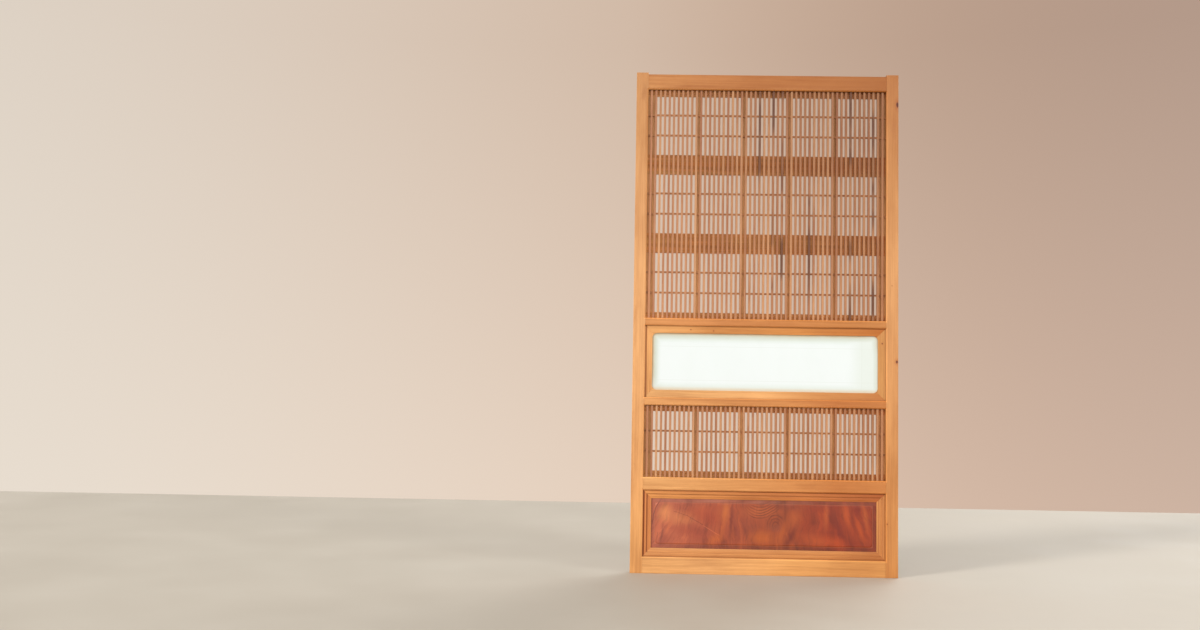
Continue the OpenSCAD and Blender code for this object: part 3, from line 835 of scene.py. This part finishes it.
def panel_veneer():
    """Reddish crotch-figured board under a thin satin finish."""
    material, n, shader, place = new_material("figured_panel_timber")
    middle_x = (panel_opening[0] + panel_opening[1]) / 2
    middle_z = (panel_opening[2] + panel_opening[3]) / 2
    x, _, z = n.parts(place)[:3]

    # the figure leans right towards the left end, and left towards the right end
    lean = n.maths(
        "ADD",
        n.remap(x, spot(80, 0)[0], spot(340, 0)[0], 0.50, 0.0, smooth=False),
        n.remap(x, spot(600, 0)[0], spot(830, 0)[0], 0.0, -0.42, smooth=False),
    )
    slid = n.maths("SUBTRACT", x, n.maths("MULTIPLY", lean, n.maths("SUBTRACT", z, middle_z)))
    leaning = n.joined(slid, 0.0, z)
    curl = n.noise(n.scaled(place, (7, 1, 9)), detail=3.0, roughness=0.55, output="Color")
    curl = n.scaled(n.vector("SUBTRACT", curl, (0.5, 0.5, 0.5)), (0.07, 0, 0.07))
    bent = n.vector("ADD", leaning, curl)
    flame = n.noise(n.scaled(bent, (34, 1, 6)), detail=5.0, roughness=0.58)
    cross = n.noise(n.scaled(bent, (13, 1, 18)), detail=4.0, roughness=0.55)
    figure = n.maths("ADD", n.maths("MULTIPLY", flame, 0.7), n.maths("MULTIPLY", cross, 0.3))
    share = n.remap(x, spot(80, 0)[0], spot(835, 0)[0], smooth=False)
    body = n.ramp(
        share,
        [
            (0.0, finish_colour(180, 98, 74)),
            (0.3, finish_colour(160, 78, 54)),
            (0.6, finish_colour(150, 72, 45)),
            (0.8, finish_colour(144, 58, 34)),
            (1.0, finish_colour(146, 62, 40)),
        ],
    )
    deep = n.blend(1.0, body, (0.62, 0.54, 0.58, 1), "MULTIPLY")
    bright = n.blend(1.0, body, (1.45, 1.62, 1.35, 1), "MULTIPLY")
    colour = n.blend(n.remap(figure, 0.50, 0.34), body, deep)
    colour = n.blend(n.remap(figure, 0.52, 0.70), colour, bright)

    for middle, half_size, tilt, strength, shade in PANEL_PATCHES:
        mask = patch_mask(n, place, middle, half_size, tilt, ragged=0.014, softness=1.0)
        colour = n.blend(n.maths("MULTIPLY", mask, strength), colour, finish_colour(*shade))

    darker = n.blend(1.0, colour, (0.46, 0.40, 0.40, 1), "MULTIPLY")
    colour = n.blend(n.maths("MULTIPLY", crotch_curves(n, place), 0.9), colour, darker)

    # fine streaks and pores that follow the lean
    streak = n.noise(n.scaled(bent, (150, 1, 14)), detail=4.0, roughness=0.6)
    colour = n.blend(n.remap(streak, 0.52, 0.72, 0.0, 0.40), colour, darker)
    lighter = n.blend(1.0, colour, (1.30, 1.28, 1.18, 1), "MULTIPLY")
    colour = n.blend(n.remap(streak, 0.48, 0.30, 0.0, 0.45), colour, lighter)
    pores = n.noise(n.scaled(bent, (620, 1, 60)), detail=3.0, roughness=0.65)
    pores = n.remap(pores, 0.56, 0.70)
    colour = n.blend(n.maths("MULTIPLY", pores, 0.40), colour, darker)
    fine = n.remap(n.noise(n.scaled(bent, (1300, 1, 260)), detail=2.0, roughness=0.6), 0.35, 0.7)

    splits = None
    for split in PANEL_SPLITS:
        mask = split_mask(n, place, *split)
        splits = mask if splits is None else n.maths("MAXIMUM", splits, mask)
    colour = n.blend(n.maths("MULTIPLY", splits, 0.70), colour, finish_colour(74, 42, 38))
    lit = split_mask(n, place, *PANEL_LIGHT_SPLIT)
    colour = n.blend(n.maths("MULTIPLY", lit, 0.8), colour, finish_colour(214, 112, 74))

    # the margin outside the raised field is made browner, less so towards the left end
    out_x = n.maths("ABSOLUTE", n.maths("SUBTRACT", x, middle_x))
    out_z = n.maths("ABSOLUTE", n.maths("SUBTRACT", z, middle_z))
    past = n.maths(
        "MAXIMUM", n.maths("SUBTRACT", out_x, FIELD_HALF_X), n.maths("SUBTRACT", out_z, FIELD_HALF_Z)
    )
    margin = n.remap(past, -1.5 * MM, 1.5 * MM)
    browner = n.blend(1.0, colour, (0.66, 0.70, 0.84, 1), "MULTIPLY")
    margin_strength = n.remap(x, spot(70, 0)[0], spot(130, 0)[0], 0.35, 0.8)
    colour = n.blend(n.maths("MULTIPLY", margin, margin_strength), colour, browner)
    # painted highlight: lighter pinkish streaks along the top margin, weaker towards the right
    margin_highlight = n.remap(n.noise(n.scaled(place, (9, 1, 16)), detail=2.0), 0.36, 0.66, 0.25, 1.0)
    margin_highlight = n.maths("MULTIPLY", margin_highlight, n.remap(z, spot(0, 239)[2], spot(0, 246)[2]))
    margin_highlight = n.maths("MULTIPLY", margin_highlight, n.remap(x, spot(380, 0)[0], spot(700, 0)[0], 1.0, 0.35))
    colour = n.blend(n.maths("MULTIPLY", margin_highlight, 0.62), colour, finish_colour(186, 118, 98))
    # painted highlight: a lighter line along the raised field's shoulder
    shoulder_highlight = n.remap(n.maths("ABSOLUTE", n.maths("SUBTRACT", past, 0.5 * MM)), 0.2 * MM, 1.6 * MM, 1.0, 0.0)
    colour = n.blend(n.maths("MULTIPLY", shoulder_highlight, 0.30), colour, finish_colour(206, 126, 92))

    # painted shadow along the panel's left edge beside the moulding, then painted highlight on edges and
    # painted shade in corners and recesses
    colour = painted_shadow_lines(n, place, colour, [(73.0, 6.0, 0.55)])
    worn = n.group(WEAR_AND_PAINTED_LIGHT, {"Colour": colour, "Place": place, "Rubbed_And_Highlight": 0.2, "Painted_Shade": 0.9})
    height = n.maths("SUBTRACT", n.maths("MULTIPLY", fine, 0.15), n.maths("MULTIPLY", pores, 0.35))
    height = n.maths("SUBTRACT", height, n.maths("MULTIPLY", splits, 2.0))
    rough = n.maths("ADD", n.maths("MULTIPLY", pores, 0.18), n.maths("MULTIPLY", figure, 0.16))
    rough = n.maths("ADD", rough, 0.28)
    connect_surface(n, shader, worn["Colour"], rough, height, 0.25 * MM)
    shader.inputs["Specular IOR Level"].default_value = 0.45
    shader.inputs["Coat Weight"].default_value = 0.2
    shader.inputs["Coat Roughness"].default_value = 0.2
    return material


def etched_glass():
    """Pale pane etched all over, with a darker smooth band round its edge that partly carries painted shadow
    of the surround, a painted warm reflection along the foot, and fine ruled lines.
    """
    material, n, shader, place = new_material("etched_glass")
    x, _, z = n.parts(place)[:3]
    half_x = (glass_opening[1] - glass_opening[0]) / 2 - SURROUND_W
    half_z = (glass_opening[3] - glass_opening[2]) / 2 - SURROUND_W
    mid_x = (glass_opening[0] + glass_opening[1]) / 2
    mid_z = (glass_opening[2] + glass_opening[3]) / 2
    side_x = n.maths("SUBTRACT", x, mid_x)
    side_z = n.maths("SUBTRACT", z, mid_z)

    # distance from the rounded edge of the light, negative inside
    past_x = n.maths("ADD", n.maths("SUBTRACT", n.maths("ABSOLUTE", side_x), half_x), LIGHT_R)
    past_z = n.maths("ADD", n.maths("SUBTRACT", n.maths("ABSOLUTE", side_z), half_z), LIGHT_R)
    corner = n.joined(n.maths("MAXIMUM", past_x, 0.0), n.maths("MAXIMUM", past_z, 0.0), 0.0)
    inside = n.maths("MINIMUM", n.maths("MAXIMUM", past_x, past_z), 0.0)
    edge = n.maths("SUBTRACT", n.maths("ADD", n.vector("LENGTH", corner), inside), LIGHT_R)

    # the smooth band lies deeper at the head and the left than at the foot, partly as painted shadow of the
    # surround
    shift = n.remap(side_z, half_z * 0.2, half_z * 0.8, -2 * MM, 4 * MM)
    shift = n.maths("MAXIMUM", shift, n.remap(side_x, -half_x, -half_x * 0.85, 4 * MM, -2 * MM))
    soft = n.maths("MULTIPLY", n.noise(n.scaled(place, (30, 1, 30)), detail=2.0), 3 * MM)
    depth = n.maths("SUBTRACT", n.maths("MULTIPLY", edge, -1.0), shift)
    depth = n.maths("ADD", depth, n.maths("SUBTRACT", soft, 1.5 * MM))
    # the darkest stops at the very edge are painted shadow of the surround on the pane
    band = n.ramp(
        n.remap(depth, -5 * MM, 30 * MM, smooth=False),
        [
            (0.0, finish_colour(168, 146, 104)),
            (0.13, finish_colour(194, 176, 140)),
            (0.24, finish_colour(205, 206, 188)),
            (0.42, finish_colour(211, 219, 209)),
            (0.56, finish_colour(218, 227, 220)),
            (0.70, finish_colour(226, 236, 233)),
            (0.85, finish_colour(231, 240, 240)),
            (1.0, finish_colour(235, 243, 245)),
        ],
    )
    clear_tone = n.ramp(
        n.remap(side_x, -half_x, half_x, smooth=False),
        [
            (0.0, finish_colour(235, 243, 245)),
            (0.86, finish_colour(235, 243, 245)),
            (0.93, finish_colour(227, 236, 233)),
        ],
    )
    weaker = n.remap(side_z, -half_z, -half_z * 0.4, 0.35, 0.0)
    weaker = n.maths("MAXIMUM", weaker, n.remap(side_x, half_x * 0.8, half_x, 0.0, 0.30))
    colour = n.blend(weaker, band, clear_tone)
    # painted reflection: a warm band along the foot, where the surround's foot shows in the pane
    foot_reflection = n.remap(n.maths("ADD", side_z, half_z), 3 * MM, 14 * MM, 0.55, 0.0)
    colour = n.blend(foot_reflection, colour, finish_colour(226, 198, 158))
    far_side = n.remap(side_x, half_x * 0.70, half_x * 0.82)
    colour = n.blend(n.maths("MULTIPLY", far_side, n.remap(depth, 12 * MM, 24 * MM)), colour, clear_tone)

    # fine ruled lines that cross near the corners
    ruled = None
    for coordinate, offset in (
        (side_z, half_z - 45 * MM),
        (side_z, 35 * MM - half_z),
        (side_x, half_x - 55 * MM),
    ):
        gap = n.maths("ABSOLUTE", n.maths("SUBTRACT", coordinate, offset))
        line = n.remap(gap, 0.3 * MM, 1.1 * MM, 1.0, 0.0)
        ruled = line if ruled is None else n.maths("MAXIMUM", ruled, line)
    colour = n.blend(n.maths("MULTIPLY", ruled, 0.30), colour, finish_colour(206, 214, 206))

    frost = n.noise(n.scaled(place, (2600, 2600, 2600)), detail=2.0)
    haze = n.noise(n.scaled(place, (14, 1, 9)), detail=3.0)
    cloudy = n.maths("MULTIPLY", n.remap(haze, 0.35, 0.7), 0.10)
    colour = n.blend(cloudy, colour, finish_colour(222, 232, 228))
    rough = n.remap(depth, 0.0, 24 * MM, 0.50, 0.62)
    connect_surface(n, shader, colour, rough, frost, 0.02 * MM)
    shader.inputs["Transmission Weight"].default_value = 0.12
    shader.inputs["IOR"].default_value = 1.5
    shader.inputs["Coat Weight"].default_value = 0.6
    shader.inputs["Coat Roughness"].default_value = 0.08
    return material


PANEL_FINISH = panel_veneer()
GLASS_FINISH = etched_glass()


# ---- pieces ----


def new_piece(name, mesh, material, slot, *nodes):
    """Links a mesh as a piece that rides on the leaf and stands for the named nodes."""
    piece = bpy.data.objects.new(name, mesh)
    bpy.context.scene.collection.objects.link(piece)
    mesh.materials.clear()
    mesh.materials.append(material)
    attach(piece, "root")
    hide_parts(*nodes)
    return piece


def smooth_but_for_arrises(mesh, angle=50):
    for face in mesh.polygons:
        face.use_smooth = True
    mesh.set_sharp_from_angle(angle=math.radians(angle))


def hold_flats(piece):
    """Keeps wide faces flat in shading where they meet an eased edge."""
    weighted = piece.modifiers.new("flat_faces", "WEIGHTED_NORMAL")
    weighted.keep_sharp = True
    weighted.weight = 60


def eased_mesh(node, ease, steps):
    """The node's shape with its sharp edges eased."""
    bm = bmesh.new()
    bm.from_mesh(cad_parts[node].data)
    bmesh.ops.remove_doubles(bm, verts=bm.verts[:], dist=2e-6)
    bmesh.ops.dissolve_limit(bm, angle_limit=math.radians(0.5), verts=bm.verts[:], edges=bm.edges[:])
    sharp = [e for e in bm.edges if len(e.link_faces) == 2 and e.calc_face_angle() > math.radians(24)]
    bmesh.ops.bevel(
        bm, geom=sharp, offset=ease, offset_type="OFFSET", segments=steps, profile=0.5,
        affect="EDGES", clamp_overlap=True,
    )
    bmesh.ops.remove_doubles(bm, verts=bm.verts[:], dist=1e-6)
    mesh = bpy.data.meshes.new(node + "_timber")
    bm.to_mesh(mesh)
    bm.free()
    smooth_but_for_arrises(mesh)
    return mesh


def eased_piece(node, material, slot, ease=0.5 * MM, steps=2):
    piece = new_piece(node + "_timber", eased_mesh(node, ease, steps), material, slot, node)
    hold_flats(piece)
    return piece


def numbered(stem):
    return sorted(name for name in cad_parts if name.startswith(stem + "_"))


for node, material in {**STILE_FINISH, **RAIL_FINISH}.items():
    eased_piece(node, material, "frame_wood", 0.7 * MM)
for node, material in SURROUND_FINISH.items():
    eased_piece(node, material, "frame_wood", 0.6 * MM)
for node, material in MOULDING_FINISH.items():
    eased_piece(node, material, "frame_wood", 0.35 * MM)
for side in ("bottom", "left", "top", "right"):
    level = side in ("bottom", "top")
    eased_piece("glass_bead_" + side, BEAD_FINISH["x" if level else "z"], "frame_wood", 0.4 * MM)
for stem, material in (
    ("upper_slats", SLAT_FINISH),
    ("lower_slats", SLAT_FINISH),
    ("upper_post", POST_FINISH),
    ("lower_post", POST_FINISH),
    ("upper_board", BOARD_FINISH),
    ("lower_board", BOARD_FINISH),
    ("upper_cross_bar", CROSS_BAR_FINISH),
    ("lower_cross_bar", CROSS_BAR_FINISH),
):
    for node in numbered(stem):
        eased_piece(node, material, "lattice_wood", 0.25 * MM, 1)


def raised_panel():
    """The panel board: a flat margin, a raised field with a rounded shoulder, and a plain back."""
    low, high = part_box("panel_board")
    field_y = low.y
    margin_y = low.y + FIELD_RISE
    mid_x, mid_z = (low.x + high.x) / 2, (low.z + high.z) / 2
    shoulder = 3.2 * MM

    def lines(lowest, highest, middle, half):
        """Grid lines: even over the board and close together over the shoulder."""
        even, close, least = 8 * MM, 0.8 * MM, 0.3 * MM
        found = [lowest, highest]
        reach = int((highest - lowest) / even)
        spread = [i * even for i in range(-reach, reach + 1)]
        found += [middle + s for s in spread if lowest < middle + s < highest]
        for sign in (-1, 1):
            found += [middle + sign * (half - FIELD_R + i * close) for i in range(20)]
        found.sort()
        kept = [found[0]]
        for value in found[1:]:
            if value - kept[-1] > least and value < highest - least:
                kept.append(value)
        return kept + [highest]

    def rise(x, z):
        """Share of the field's rise at a point of the face."""
        past_x = abs(x - mid_x) - FIELD_HALF_X + FIELD_R
        past_z = abs(z - mid_z) - FIELD_HALF_Z + FIELD_R
        corner = math.hypot(max(past_x, 0), max(past_z, 0))
        edge = corner + min(max(past_x, past_z), 0) - FIELD_R
        share = min(max(-edge / shoulder, 0), 1)
        return math.sin(share * math.pi / 2) ** 0.8

    xs = lines(low.x, high.x, mid_x, FIELD_HALF_X)
    zs = lines(low.z, high.z, mid_z, FIELD_HALF_Z)
    points = [(x, margin_y + (field_y - margin_y) * rise(x, z), z) for z in zs for x in xs]
    wide = len(xs)
    faces = [
        (j * wide + i, j * wide + i + 1, (j + 1) * wide + i + 1, (j + 1) * wide + i)
        for j in range(len(zs) - 1)
        for i in range(wide - 1)
    ]
    rim = list(range(wide))
    rim += [j * wide + wide - 1 for j in range(1, len(zs))]
    rim += [(len(zs) - 1) * wide + i for i in range(wide - 2, -1, -1)]
    rim += [j * wide for j in range(len(zs) - 2, 0, -1)]
    back_start = len(points)
    points += [(points[i][0], high.y, points[i][2]) for i in rim]
    count = len(rim)
    for i in range(count):
        j = (i + 1) % count
        faces.append((rim[i], back_start + i, back_start + j, rim[j]))
    faces.append(tuple(back_start + i for i in range(count)))
    mesh = bpy.data.meshes.new("figured_panel")
    mesh.from_pydata(points, [], faces)
    bm = bmesh.new()
    bm.from_mesh(mesh)
    bmesh.ops.recalc_face_normals(bm, faces=bm.faces[:])
    bm.to_mesh(mesh)
    bm.free()
    smooth_but_for_arrises(mesh, 60)
    return new_piece("figured_panel", mesh, PANEL_FINISH, "figured_panel", "panel_board")


raised_panel()

pane_mesh = eased_mesh("glass_pane", 0.4 * MM, 1)
pane = new_piece("etched_pane", pane_mesh, GLASS_FINISH, "etched_glass", "glass_pane")
hold_flats(pane)


# ---- floor, light and camera ----


def plain_floor():
    """A pale floor that ends a little way behind the leaf."""
    half_width, near, far = 9.0, -9.0, 2.6
    mesh = bpy.data.meshes.new("floor")
    corners = [(-half_width, near, 0), (half_width, near, 0), (half_width, far, 0), (-half_width, far, 0)]
    mesh.from_pydata([(x, y, FOOT - 0.2 * MM) for x, y, _ in corners], [], [(0, 1, 2, 3)])
    floor = bpy.data.objects.new("floor", mesh)
    bpy.context.scene.collection.objects.link(floor)
    material, n, shader, place = new_material("plain_floor")
    cloud = n.noise(n.scaled(place, (2.2, 2.2, 1)), detail=4.0)
    colour = n.ramp(cloud, [(0.3, finish_colour(196, 186, 172)), (0.7, finish_colour(204, 195, 182))])
    rough = n.remap(cloud, 0.3, 0.7, 0.6, 0.72)
    connect_surface(n, shader, colour, rough, cloud, 0.1 * MM)
    mesh.materials.append(material)


def studio_light():
    world = bpy.data.worlds.new("studio")
    bpy.context.scene.world = world
    world.use_nodes = True
    world.node_tree.nodes.clear()
    n = Nodes(world.node_tree)
    light = n.add("Background", {0: (0.60, 0.585, 0.555, 1), 1: 1.0})
    # the backdrop seen by the camera falls off softly towards the upper right: painted shade, darker and
    # warmer where the leaf's shadow would lie behind it
    side, _, rise = n.parts(n.add("TexCoord").outputs["Generated"])[:3]
    across = n.remap(side, -0.5, 0.5, smooth=False)
    marks = (0.0, 0.5, 0.75, 1.0)
    low_shades = ((232, 224, 212), (232, 209, 189), (210, 181, 161), (202, 178, 162))
    high_shades = ((224, 215, 203), (212, 186, 165), (182, 153, 134), (178, 154, 140))
    low_tone, high_tone = (
        n.ramp(across, [(mark, shown(*shade)) for mark, shade in zip(marks, shades)], "B_SPLINE")
        for shades in (low_shades, high_shades)
    )
    tone = n.blend(n.remap(rise, -0.08, 0.28, smooth=False), low_tone, high_tone)
    seen = n.add("Background", {0: tone, 1: 1.0})
    straight = n.add("LightPath").outputs["Is Camera Ray"]
    mixed = n.add("MixShader", {0: straight, 1: light.outputs[0], 2: seen.outputs[0]})
    n.add("OutputWorld", {0: mixed.outputs[0]})
    # name, power, softness in degrees, colour, direction towards the lamp
    for name, power, softness, colour, towards in (
        ("key", 1.9, 12, (1.0, 0.98, 0.94), (-1.25, -1.0, 0.75)),
        ("cross_light", 1.0, 20, (1.0, 0.98, 0.95), (1.2, -1.0, 0.5)),
        ("front_fill", 0.85, 50, (1.0, 0.99, 0.97), (-0.1, -1.0, 0.3)),
        ("back_fill", 1.3, 40, (1.0, 0.99, 0.97), (0.7, 1.0, 0.7)),
    ):
        sun = bpy.data.lights.new(name, "SUN")
        sun.energy = power
        sun.angle = math.radians(softness)
        sun.color = colour
        lamp = bpy.data.objects.new(name, sun)
        bpy.context.scene.collection.objects.link(lamp)
        lamp.rotation_mode = "QUATERNION"
        lamp.rotation_quaternion = Vector(towards).to_track_quat("Z", "Y")
        lamp.location = Vector(towards) * 3


def studio_camera():
    data = bpy.data.cameras.new("camera")
    data.lens = 36
    data.sensor_width = 36
    data.clip_start = 0.05
    data.clip_end = 60
    camera = bpy.data.objects.new("camera", data)
    bpy.context.scene.collection.objects.link(camera)
    camera.location = (-0.486, -4.174, 0.618)
    camera.rotation_euler = Euler([math.radians(a) for a in (93.654, -0.954, 1.146)], "XYZ")
    bpy.context.scene.camera = camera


plain_floor()
studio_light()
studio_camera()
bpy.context.scene.view_settings.view_transform = "Standard"
bpy.context.scene.view_settings.look = "None"
